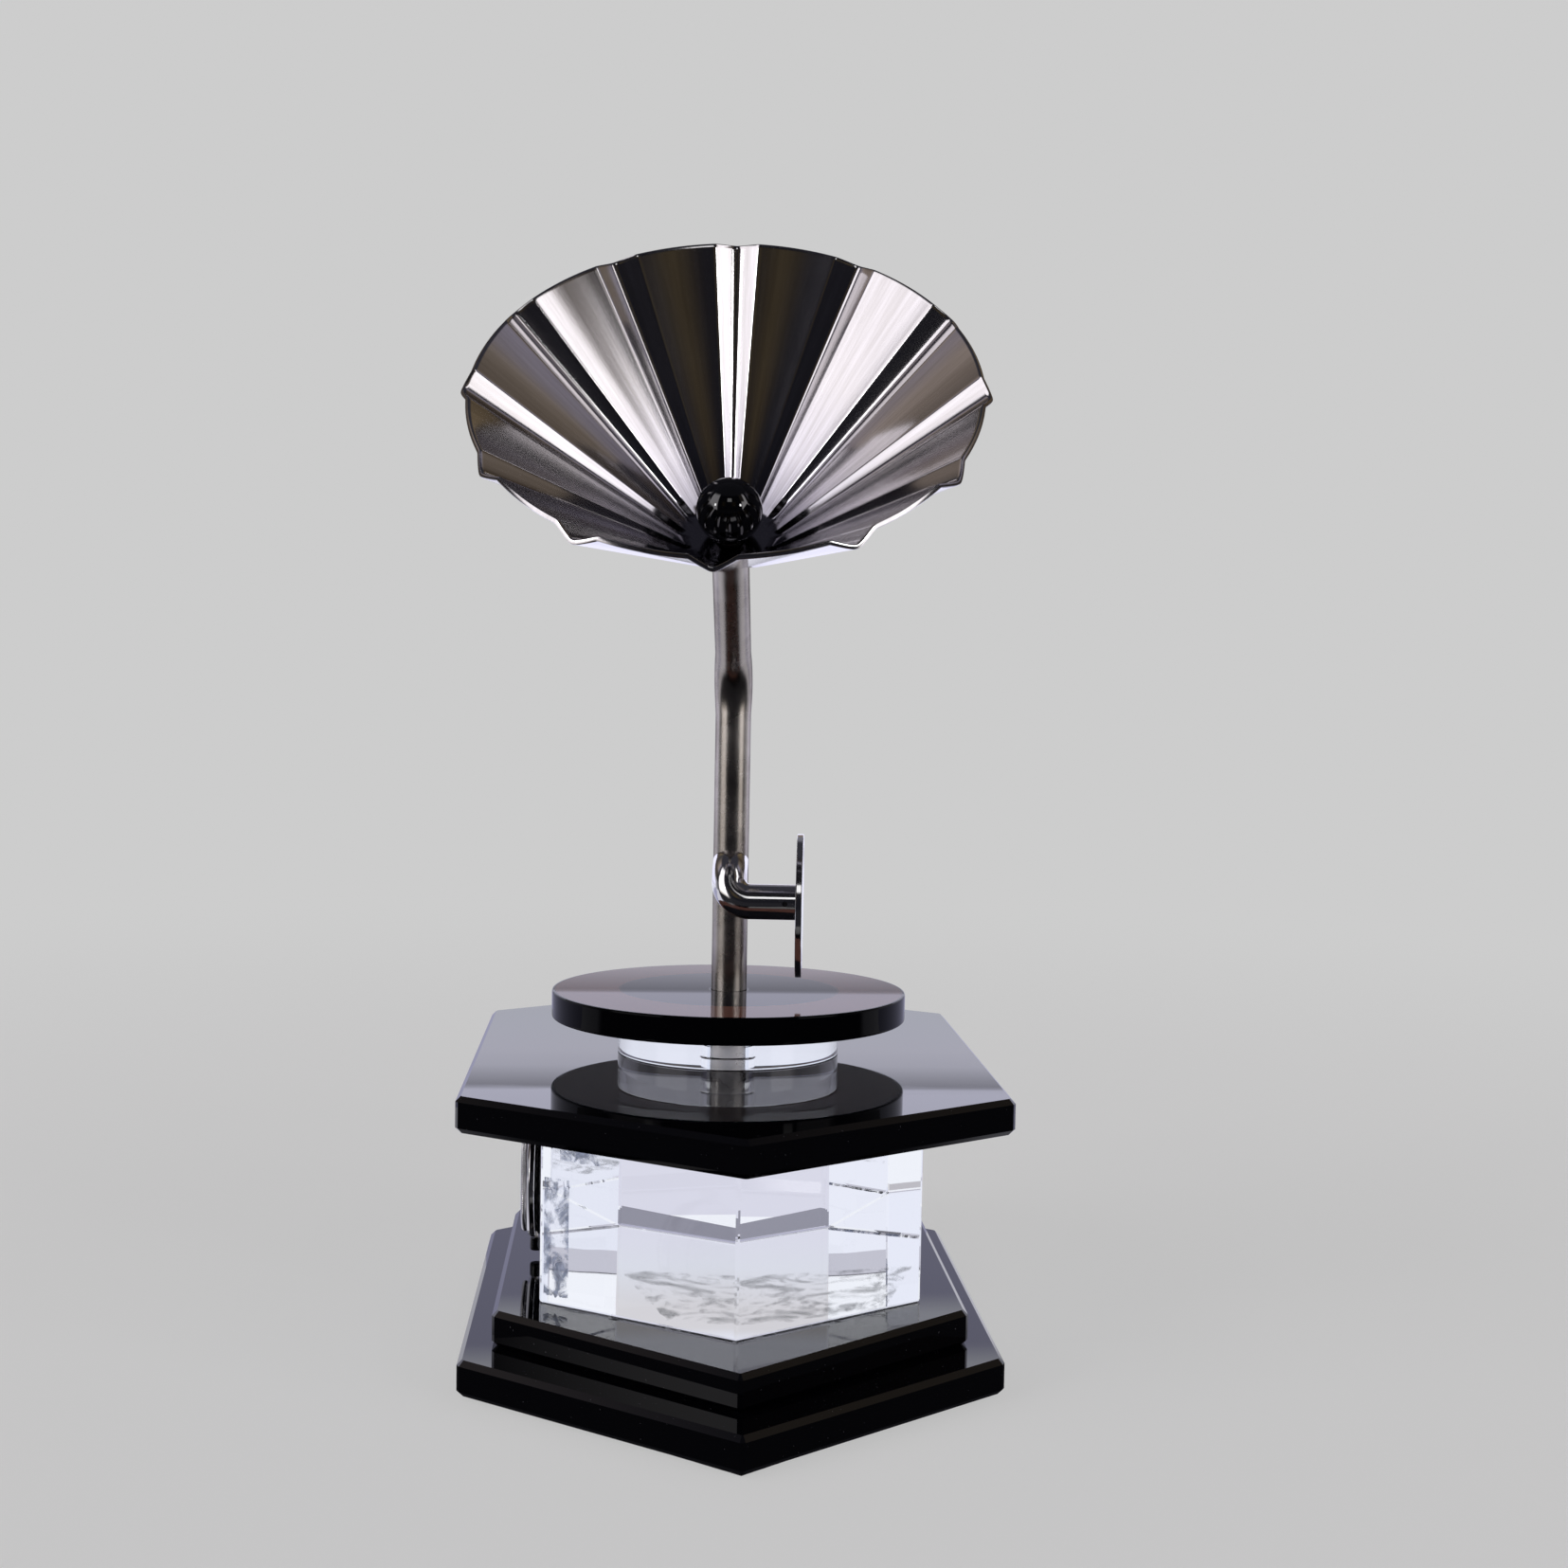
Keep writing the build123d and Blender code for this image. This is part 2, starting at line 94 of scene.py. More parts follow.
upright = frame_matrix((0, 0, 0), (1, 0, 0), (0, 0, 1))
horn_frame = frame_matrix(neck_end, sideways, horn_axis)
clock_frame = frame_matrix((-BLOCK_HALF_WIDTH, 0, CLOCK_Z), (0, -1, 0), (-1, 0, 0))
crown_place = (-BLOCK_HALF_WIDTH - CROWN_BEHIND, 0, CLOCK_Z)
crown_frame = frame_matrix(crown_place, (1, 0, 0), (0, 0, -1))


# ---------------------------------------------------------------- node trees
class Nodes:
    """Short ways to add to a node tree. A value is a number, a colour or a node's output."""

    def __init__(self, tree, empty=False):
        self.tree = tree
        if empty:
            tree.nodes.clear()

    def node(self, kind, **values):
        made = self.tree.nodes.new(kind)
        for key, value in values.items():
            setattr(made, key, value)
        return made

    def link(self, value, socket):
        """Set a socket to a constant, or drive it with a node's output."""
        if isinstance(value, (int, float, tuple)):
            socket.default_value = value
        else:
            self.tree.links.new(value, socket)

    def split(self, vector):
        """The x, y and z of a vector."""
        made = self.node("ShaderNodeSeparateXYZ")
        self.link(vector, made.inputs[0])
        return made.outputs

    def length(self, vector):
        made = self.node("ShaderNodeVectorMath", operation="LENGTH")
        self.link(vector, made.inputs[0])
        return made.outputs["Value"]

    def math(self, operation, *values):
        made = self.node("ShaderNodeMath", operation=operation)
        for value, socket in zip(values, made.inputs):
            self.link(value, socket)
        return made.outputs[0]

    def remap(self, value, low, high, to_low=0.0, to_high=1.0, kind="LINEAR"):
        made = self.node("ShaderNodeMapRange", interpolation_type=kind)
        keys = ("From Min", "From Max", "To Min", "To Max")
        for key, number in zip(keys, (low, high, to_low, to_high)):
            made.inputs[key].default_value = number
        self.link(value, made.inputs["Value"])
        return made.outputs["Result"]

    def smooth(self, value, low, high, to_low=0.0, to_high=1.0):
        return self.remap(value, low, high, to_low, to_high, "SMOOTHSTEP")

    def ramp(self, value, stops):
        """A colour ramp; stops are (position, colour)."""
        made = self.node("ShaderNodeValToRGB")
        elements = made.color_ramp.elements
        while len(elements) < len(stops):
            elements.new(0.5)
        for element, (position, color) in zip(elements, stops):
            element.position = position
            element.color = (*color, 1.0)
        self.link(value, made.inputs["Fac"])
        return made.outputs["Color"]

    def azimuth(self, x, y):
        """Direction round the object as 0 to 1: 0.5 is in front, and it grows towards +X."""
        turned = self.math("ARCTAN2", x, self.math("MULTIPLY", y, -1.0))
        return self.math("MULTIPLY_ADD", turned, 1 / WHOLE_TURN, 0.5)

    def azimuth_ramp(self, azimuth, stops):
        """A colour ramp round the object; stops are (degrees from the front, colour)."""
        return self.ramp(azimuth, [(angle / 360 + 0.5, color) for angle, color in stops])

    def mix(self, share, first, second, blend="MIX"):
        made = self.node("ShaderNodeMix", data_type="RGBA", blend_type=blend)
        for index, value in ((0, share), (6, first), (7, second)):
            self.link(value, made.inputs[index])
        return made.outputs[2]

    def emission(self, color, strength=1.0):
        made = self.node("ShaderNodeEmission")
        self.link(color, made.inputs["Color"])
        self.link(strength, made.inputs["Strength"])
        return made.outputs[0]

    def background(self, color):
        made = self.node("ShaderNodeBackground")
        self.link(color, made.inputs["Color"])
        return made.outputs[0]

    def mix_shader(self, share, first, second):
        made = self.node("ShaderNodeMixShader")
        for value, socket in zip((share, first, second), made.inputs):
            self.link(value, socket)
        return made.outputs[0]


# ---------------------------------------------------------------- materials
class Surface(Nodes):
    """A material built step by step around one Principled shader."""

    def __init__(self, name, color, **sockets):
        self.material = bpy.data.materials.new(name)
        self.material.use_nodes = True
        super().__init__(self.material.node_tree)
        self.shader = self.tree.nodes["Principled BSDF"]
        self.shader.inputs["Base Color"].default_value = (*color, 1.0)
        for key, value in sockets.items():
            self.shader.inputs[key.replace("_", " ")].default_value = value

    def coordinates(self, uv=None, scale=(1, 1, 1)):
        """Object coordinates, or a named UV map, times a scale."""
        mapping = self.node("ShaderNodeMapping")
        mapping.inputs["Scale"].default_value = scale
        if uv:
            source = self.node("ShaderNodeUVMap", uv_map=uv).outputs["UV"]
        else:
            source = self.node("ShaderNodeTexCoord").outputs["Object"]
        self.link(source, mapping.inputs["Vector"])
        return mapping.outputs["Vector"]

    def noise(self, vector, scale, detail, roughness=0.5, distortion=0.0):
        made = self.node("ShaderNodeTexNoise")
        made.inputs["Scale"].default_value = scale
        made.inputs["Detail"].default_value = detail
        made.inputs["Roughness"].default_value = roughness
        made.inputs["Distortion"].default_value = distortion
        self.link(vector, made.inputs["Vector"])
        return made.outputs["Fac"]

    def bump(self, height, strength, distance):
        """Add a bump, its distance in metres, on top of any earlier one."""
        made = self.node("ShaderNodeBump")
        made.inputs["Strength"].default_value = strength
        made.inputs["Distance"].default_value = distance
        self.link(height, made.inputs["Height"])
        normal = self.shader.inputs["Normal"]
        if normal.links:
            self.link(normal.links[0].from_socket, made.inputs["Normal"])
        self.link(made.outputs["Normal"], normal)

    def drive(self, socket, value):
        self.link(value, self.shader.inputs[socket])


def paint_stray_light(surface, share):
    """Lighten a dark piece where clear glass shows it, for the light that strays in the glass.

    This glow is painted light; undersides get the most of it.
    """
    underside_share = min(1.0, share + 0.5)
    # Painted light: an emission that stands in for the light straying in the glass.
    haze = surface.emission((0.75, 0.75, 0.86, 1))
    facing = surface.split(surface.node("ShaderNodeTexCoord").outputs["Normal"])
    amount = surface.remap(facing["Z"], -0.6, -0.4, underside_share, share)
    through_glass = surface.node("ShaderNodeLightPath").outputs["Is Transmission Ray"]
    amount = surface.math("MULTIPLY", amount, through_glass)
    shown = surface.mix_shader(amount, surface.shader.outputs[0], haze)
    surface.link(shown, surface.tree.nodes["Material Output"].inputs["Surface"])


def black_glass(name, color):
    """Polished dark glass with faint dust and wipe marks."""
    roughness = 0.015
    s = Surface(name, color, Roughness=roughness, IOR=1.52)
    dust_tone = (0.10, 0.10, 0.11)
    wipe = s.noise(s.coordinates(scale=(1, 4, 1)), 35, 4, 0.6, 1.2)
    s.drive("Roughness", s.remap(wipe, 0.45, 0.8, roughness, roughness + 0.05))
    dust = s.noise(s.coordinates(), 1600, 1, 0.5)
    s.drive("Base Color", s.ramp(dust, [(0.0, color), (0.765, color), (0.80, dust_tone)]))
    # Painted glow where clear glass shows the plates, for light straying in the glass.
    paint_stray_light(s, 0.25)
    return s.material


def clear_glass(name, color=(0.985, 0.99, 1.0)):
    """Clear polished crystal with barely uneven faces."""
    s = Surface(name, color, Roughness=0.0, IOR=1.5, Transmission_Weight=1.0)
    wave = s.noise(s.coordinates(), 60, 1, 0.4)
    s.bump(wave, 0.02, 0.0004)
    return s.material


def metal(name, color, roughness, anisotropic=0.0):
    return Surface(name, color, Metallic=1.0, Roughness=roughness, Anisotropic=anisotropic)


def make_materials():
    made = {}
    made["black_glass"] = black_glass("polished_black_glass", (0.0022, 0.0022, 0.0035))
    made["clear_glass"] = clear_glass("clear_crystal")
    made["drum_glass"] = clear_glass("clear_drum_crystal", (0.97, 0.98, 1.0))

    # Smoked record: brown glass with a dark rim. Its brown is the glass's own tint brightened by
    # painted light passing through it; the darker patch over the drum is painted shade, where that
    # light leaks into the glued drum.
    s = Surface("smoked_glass", (0.1, 0.07, 0.065), Roughness=0.01, IOR=1.13)
    flat = s.node("ShaderNodeVectorMath", operation="MULTIPLY")
    flat.inputs[1].default_value = (1, 1, 0)
    s.link(s.coordinates(), flat.inputs[0])
    share = s.remap(s.length(flat.outputs["Vector"]), 0.0, RECORD_RADIUS * MM)
    rim, brown, bond_shade = (0.002, 0.002, 0.003), (0.27, 0.13, 0.10), (0.02, 0.02, 0.026)
    stops = [(0.0, bond_shade), (0.61, bond_shade), (0.63, brown), (0.98, brown), (0.986, rim)]
    s.drive("Base Color", s.ramp(share, stops))
    made["smoked_glass"] = s.material

    # Satin nickel tube: darker at its edges, with fine speckle and faint marks along its length.
    s = metal("satin_nickel", (0.50, 0.46, 0.42), 0.27)
    s.shader.inputs["Specular Tint"].default_value = (0.3, 0.3, 0.3, 1)
    along = s.noise(s.coordinates(scale=(9, 9, 1)), 160, 3, 0.6)
    speckle = s.noise(s.coordinates(), 2600, 2, 0.7)
    blotch = s.noise(s.coordinates(), 90, 4, 0.6)
    s.drive("Roughness", s.remap(blotch, 0.3, 0.75, 0.2, 0.36))
    tone = s.ramp(blotch, [(0.3, (0.33, 0.30, 0.27)), (0.7, (0.60, 0.56, 0.52))])
    s.drive("Base Color", tone)
    s.bump(speckle, 0.35, 0.00003)
    s.bump(along, 0.12, 0.00002)
    made["satin_steel"] = s.material

    # Bell: brushed along each petal, with painted shade that darkens the petals towards the throat.
    s = metal("brushed_bell", (0.66, 0.63, 0.62), 0.16, 0.3)
    tangent = s.node("ShaderNodeTangent", direction_type="UV_MAP", uv_map="grain")
    s.link(tangent.outputs["Tangent"], s.shader.inputs["Tangent"])
    streak = s.noise(s.coordinates("grain", (1, 0.03, 1)), 900, 4, 0.65)
    fine = s.noise(s.coordinates("grain", (1, 0.25, 1)), 2600, 2, 0.6)
    haze = s.noise(s.coordinates("grain", (1, 0.4, 1)), 40, 3, 0.6)
    s.drive("Roughness", s.remap(haze, 0.3, 0.75, 0.085, 0.15))
    tone = s.ramp(streak, [(0.3, (0.50, 0.48, 0.48)), (0.7, (0.66, 0.64, 0.66))])
    place = s.split(s.node("ShaderNodeUVMap", uv_map="grain").outputs["UV"])
    depth = s.remap(place["Y"], 0.004, 0.034)
    # Painted shade: darker towards the throat, where the bell is deepest.
    throat, wall, rim = (0.46, 0.46, 0.52), (0.88, 0.88, 0.93), (1, 1, 1)
    painted_throat_shade = s.ramp(depth, [(0.0, throat), (0.4, wall), (1.0, rim)])
    s.drive("Base Color", s.mix(1.0, tone, painted_throat_shade, "MULTIPLY"))
    grit = s.noise(s.coordinates(), 3000, 2, 0.7)
    s.bump(grit, 0.04, 0.00001)
    s.bump(fine, 0.15, 0.00002)
    s.bump(streak, 0.1, 0.00002)
    made["brushed_horn"] = s.material

    s = metal("polished_chrome", (0.74, 0.73, 0.74), 0.06)
    smear = s.noise(s.coordinates(), 260, 3, 0.6)
    s.drive("Roughness", s.remap(smear, 0.3, 0.8, 0.06, 0.17))
    s.bump(smear, 0.08, 0.00005)
    made["bright_chrome"] = s.material

    s = metal("blackened_steel", (0.05, 0.05, 0.055), 0.4)
    s.bump(s.noise(s.coordinates(), 3000, 2), 0.3, 0.00003)
    made["dark_steel"] = s.material

    s = Surface("black_ball", (0.001, 0.001, 0.0015), Roughness=0.03, IOR=1.5,
                Coat_Weight=0.8, Coat_Roughness=0.01)
    s.drive("Roughness", s.remap(s.noise(s.coordinates(), 150, 3), 0.4, 0.8, 0.005, 0.03))
    made["black_ball"] = s.material

    s = Surface("gloss_black_plastic", (0.003, 0.003, 0.004), Roughness=0.06, IOR=1.5)
    mould = s.noise(s.coordinates(), 500, 3)
    s.drive("Roughness", s.remap(mould, 0.3, 0.8, 0.04, 0.14))
    s.bump(mould, 0.05, 0.0001)
    # Painted glow where clear glass shows the plastic, for light straying in the glass.
    paint_stray_light(s, 0.5)
    made["black_plastic"] = s.material

    s = Surface("rubber", (0.02, 0.02, 0.02), Roughness=0.75)
    s.bump(s.noise(s.coordinates(), 2200, 3), 0.5, 0.0001)
    made["seat_rubber"] = s.material

    s = Surface("movement_plastic", (0.08, 0.08, 0.085), Roughness=0.5)
    s.bump(s.noise(s.coordinates(), 900, 3), 0.3, 0.0001)
    made["movement_plastic"] = s.material

    s = Surface("foam_tape", (0.72, 0.74, 0.8), Roughness=0.8)
    cells = s.node("ShaderNodeTexVoronoi")
    cells.inputs["Scale"].default_value = 1400
    s.link(s.coordinates(), cells.inputs["Vector"])
    s.bump(cells.outputs["Distance"], 0.5, 0.0001)
    mottle = s.noise(s.coordinates(), 300, 4)
    s.drive("Base Color", s.ramp(mottle, [(0.35, (0.45, 0.48, 0.56)), (0.6, (0.85, 0.87, 0.9))]))
    made["foam_tape"] = s.material

    s = Surface("dial_white", (0.85, 0.85, 0.82), Roughness=0.35)
    paper = s.noise(s.coordinates(), 1500, 3)
    s.drive("Base Color", s.ramp(paper, [(0.3, (0.80, 0.80, 0.77)), (0.7, (0.88, 0.88, 0.86))]))
    s.bump(paper, 0.1, 0.00005)
    made["dial_white"] = s.material

    s = Surface("black_enamel", (0.008, 0.008, 0.01), Roughness=0.3)
    s.drive("Roughness", s.remap(s.noise(s.coordinates(), 2000, 2), 0.3, 0.8, 0.22, 0.4))
    made["hand_black"] = s.material

    s = Surface("lens_glass", (1, 1, 1), Roughness=0.0, IOR=1.5, Transmission_Weight=1.0)
    s.bump(s.noise(s.coordinates(), 120, 1), 0.01, 0.0003)
    made["lens_glass"] = s.material

    # Felt: short matted fibres.
    s = Surface("black_felt", (0.012, 0.012, 0.012), Roughness=0.95, Sheen_Weight=0.4)
    fibre = s.noise(s.coordinates(), 1800, 5, 0.7, 2.0)
    s.drive("Base Color", s.ramp(fibre, [(0.35, (0.006, 0.006, 0.006)), (0.7, (0.03, 0.03, 0.03))]))
    s.bump(fibre, 0.8, 0.0003)
    made["felt"] = s.material
    return made


materials = make_materials()


def patchy(name, color, roughness, scale, low, high, distortion, strength):
    """A film that shows only in blotches, clear below low and at full strength above high."""
    s = Surface(name, color, Roughness=roughness)
    blotch = s.noise(s.coordinates(), scale, 6, 0.65, distortion)
    alpha = s.remap(blotch, low, high, 0.0, strength)
    shade = s.noise(s.coordinates(), scale * 3, 4, 0.6, distortion)
    tones = [(0.3, tuple(0.45 * c for c in color)), (0.65, color)]
    s.drive("Base Color", s.ramp(shade, tones))
    s.drive("Alpha", alpha)
    return s.material


# ---------------------------------------------------------------- mesh making
def add_piece(name, points, faces, matrix, slot, body, replaced=(), material=None, angle=30,
              uv=None):
    """Make one piece from points in mm in its own frame, and hand it to a body.

    Edges sharper than the angle, in degrees, stay sharp.
    """
    mesh = bpy.data.meshes.new(name)
    mesh.from_pydata([(matrix @ Vector(p)) * MM for p in points], [], faces)
    mesh.validate()
    if uv:
        layer = mesh.uv_layers.new(name="grain")
        layer.data.foreach_set("uv", [c for pair in uv for c in pair])
    work = bmesh.new()
    work.from_mesh(mesh)
    bmesh.ops.recalc_face_normals(work, faces=work.faces)
    work.to_mesh(mesh)
    work.free()
    mesh.shade_smooth()
    mesh.set_sharp_from_angle(angle=radians(angle))
    piece = bpy.data.objects.new(name, mesh)
    bpy.context.scene.collection.objects.link(piece)
    mesh.materials.append(material or materials[slot])
    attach(piece, body)
    if replaced:
        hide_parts(*replaced)


def ring_faces(rings, count, closed=True):
    """Quads between rings of count points; closed also joins the last ring to the first."""
    faces = []
    for i in range(rings if closed else rings - 1):
        here, there = i * count, (i + 1) % rings * count
        for j in range(count):
            k = (j + 1) % count
            faces.append((here + j, here + k, there + k, there + j))
    return faces


def lathe(profile, count, wobble=None):
    """Turn a closed profile of (radius, height) round z; radius 0 makes a pole.

    wobble(angle, radius, height) adds to the radius.
    """
    points, faces, rows = [], [], []
    for radius, height in profile:
        if radius == 0:
            rows.append([len(points)])
            points.append((0, 0, height))
            continue
        rows.append(list(range(len(points), len(points) + count)))
        for j in range(count):
            a = WHOLE_TURN * j / count
            r = radius + (wobble(a, radius, height) if wobble else 0)
            points.append((r * cos(a), r * sin(a), height))
    for i, row in enumerate(rows):
        following = rows[(i + 1) % len(rows)]
        if len(row) == 1 and len(following) == 1:
            continue
        for j in range(count):
            k = (j + 1) % count
            if len(row) == 1:
                faces.append((row[0], following[j], following[k]))
            elif len(following) == 1:
                faces.append((row[j], row[k], following[0]))
            else:
                faces.append((row[j], row[k], following[k], following[j]))
    return points, faces


def rounded(corners, radius, steps=3):
    """Round the corners of a closed profile.

    A close line beside each corner keeps the flats flat. Corners on the axis stay as they are.
    """
    widest_share, line_at, smallest = 0.35, 1.3, 0.01
    out = []
    total = len(corners)
    for i, corner in enumerate(corners):
        here = Vector(corner)
        before = Vector(corners[i - 1]) - here
        after = Vector(corners[(i + 1) % total]) - here
        cut = min(radius, before.length * widest_share, after.length * widest_share)
        if here.x == 0 or cut < smallest:
            out.append(corner)
            continue
        before.normalize()
        after.normalize()
        out.append(tuple(here + before * cut * line_at))
        for k in range(steps + 1):
            t = k / steps
            p = here + before * cut * (1 - t) ** 2 + after * cut * t ** 2
            out.append((p.x, p.y))
        out.append(tuple(here + after * cut * line_at))
    return out


def sweep(path, rings, count):
    """Rings of (right radius, other radius) along a path of (centre, right, other) frames."""
    points = []
    for (centre, right, other), (wide, high) in zip(path, rings):
        for j in range(count):
            a = WHOLE_TURN * j / count
            points.append(centre + right * (wide * cos(a)) + other * (high * sin(a)))
    return points


def hexagon(half_width, half_side, tip):
    """Corners of a long hexagon with one point in front and one behind."""
    return [(0, -tip), (half_width, -half_side), (half_width, half_side),
            (0, tip), (-half_width, half_side), (-half_width, -half_side)]


# ---------------------------------------------------------------- crystal block
def make_block():
    """The block, a hair clear of the plates and the clock's tape, with polished bevels."""
    gap, tape_gap, bevel = 0.06, 0.04, 0.55
    outline = hexagon(BLOCK_HALF_WIDTH - tape_gap, BLOCK_HALF_SIDE, BLOCK_HALF_SIDE + BLOCK_POINT)
    points = [(x, y, z) for z in (BLOCK_BOTTOM + gap, BLOCK_TOP - gap) for x, y in outline]
    sides = len(outline)
    faces = [tuple(range(sides - 1, -1, -1)), tuple(range(sides, 2 * sides))]
    faces += [(i, (i + 1) % sides, (i + 1) % sides + sides, i + sides) for i in range(sides)]
    work = bmesh.new()
    made = [work.verts.new(p) for p in points]
    for face in faces:
        work.faces.new([made[i] for i in face])
    bmesh.ops.bevel(work, geom=list(work.edges), offset=bevel, segments=2, profile=0.5,
                    affect="EDGES")
    work.verts.index_update()
    points = [tuple(v.co) for v in work.verts]
    faces = [tuple(v.index for v in f.verts) for f in work.faces]
    work.free()
    add_piece("crystal_block_cut", points, faces, upright, "clear_glass", "stand",
              ["crystal_block"], angle=12)


def make_films():
    """Blotchy adhesive near the block's left corner, and a swirl of glue on its underside."""
    thickness, inset = 0.04, 0.15
    columns, rows, waviness, waves = 40, 24, 0.03, 9
    bond = patchy("adhesive_bond", (0.56, 0.63, 0.82), roughness=0.5, scale=230,
                  low=0.42, high=0.6, distortion=0.6, strength=0.75)
    swirl = patchy("glue_swirl", (0.50, 0.52, 0.49), roughness=0.4, scale=60,
                   low=0.48, high=0.72, distortion=3.2, strength=0.34)

    def film(name, corner, right, rise, material):
        """A thin sheet with wavy edges."""
        normal = right.cross(rise).normalized()
        points, faces = [], []
        for side in (0.0, thickness):
            for i in range(rows + 1):
                for j in range(columns + 1):
                    u, v = j / columns, i / rows
                    edge = waviness * noise.noise(Vector((waves * u, waves * v, 3.0)))
                    across, along = u + edge * (1 - u), v + edge * (1 - v)
                    points.append(corner + right * across + rise * along - normal * side)
        layer = (rows + 1) * (columns + 1)
        for k in (0, layer):
            for i in range(rows):
                for j in range(columns):
                    a = k + i * (columns + 1) + j
                    faces.append((a, a + 1, a + columns + 2, a + columns + 1))
        add_piece(name, points, faces, upright, "clear_glass", "stand", material=material, angle=80)

    # The first two lie just inside the block's left front face.
    face = Vector((BLOCK_HALF_WIDTH, -BLOCK_POINT, 0))
    inside = Vector((BLOCK_POINT, BLOCK_HALF_WIDTH, 0)).normalized() * inset
    left = Vector((-BLOCK_HALF_WIDTH, -BLOCK_HALF_SIDE, BLOCK_BOTTOM)) + inside
    film("adhesive_film", left + face * 0.02 + Vector((0, 0, 2)), face * 0.13,
         Vector((0, 0, 25)), bond)
    film("adhesive_haze", left + face * 0.1 + Vector((0, 0, 31)), face * 0.23,
         Vector((0, 0, 7.5)), bond)
    film("glue_film", Vector((-12, -46, BLOCK_BOTTOM + 0.2)), Vector((44, 0, 0)),
         Vector((0, 52, 0)), swirl)


# ---------------------------------------------------------------- drum and record
def make_drum_and_record():
    gap, bore = 0.03, 4.05

    def section(radius, bottom, top, edge):
        return rounded([(bore, bottom), (radius, bottom), (radius, top), (bore, top)], edge)

    drum = section(DRUM_RADIUS, DRUM_BOTTOM + gap, RECORD_BOTTOM - gap, 0.3)
    add_piece("drum_cut", *lathe(drum, 256), upright, "clear_glass", "stand",
              ["record_drum"], materials["drum_glass"])
    record = section(RECORD_RADIUS, RECORD_BOTTOM, RECORD_TOP, 0.45)
    add_piece("record_cut", *lathe(record, 288), upright, "smoked_glass", "stand", ["record_disc"])


# ---------------------------------------------------------------- horn tube
def make_tube():
    """Bent tube, a little flattened where it was bent."""
    straight_rings, bend_rings, neck_rings, count = 30, 24, 10, 72
    widened, flattened = 0.3, 0.25
    swept = pi / 2 - lean
    cut = BEND_RADIUS * tan(swept / 2)
    start = bend_corner - Vector((0, 0, cut))
    centre = start + forward * BEND_RADIUS
    path, rings = [], []
    for i in range(straight_rings):
        z = TUBE_FOOT + (start.z - TUBE_FOOT) * i / straight_rings
        path.append((Vector((0, 0, z)), sideways, forward))
        rings.append((TUBE_RADIUS, TUBE_RADIUS))
    for i in range(bend_rings + 1):
        a = swept * i / bend_rings
        out = -forward * cos(a) + up * sin(a)
        flat = sin(pi * i / bend_rings)
        path.append((centre + out * BEND_RADIUS, sideways, -out))
        rings.append((TUBE_RADIUS + widened * flat, TUBE_RADIUS - flattened * flat))
    end_out = -forward * cos(swept) + up * sin(swept)
    for i in range(1, neck_rings + 1):
        along = cut + (NECK_LENGTH - cut) * i / neck_rings
        path.append((bend_corner + horn_axis * along, sideways, -end_out))
        rings.append((TUBE_RADIUS, TUBE_RADIUS))
    wall = TUBE_RADIUS - TUBE_INNER
    outer = sweep(path, rings, count)
    inner = sweep(path[::-1], [(w - wall, h - wall) for w, h in rings[::-1]], count)
    add_piece("horn_tube_bent", outer + inner, ring_faces(2 * len(path), count), Matrix(),
              "satin_steel", "horn", ["horn_tube"], angle=40)


# ---------------------------------------------------------------- horn bell
def rib_shape(q):
    """Share of a rib's depth at q half widths from its middle, with soft bottom and shoulders."""
    bottom, lift, shoulder = 0.03, 0.05, 0.002
    soft = 1.0 - sqrt(q * q + bottom) + lift
    return 0.5 * (soft + sqrt(soft * soft + shoulder))


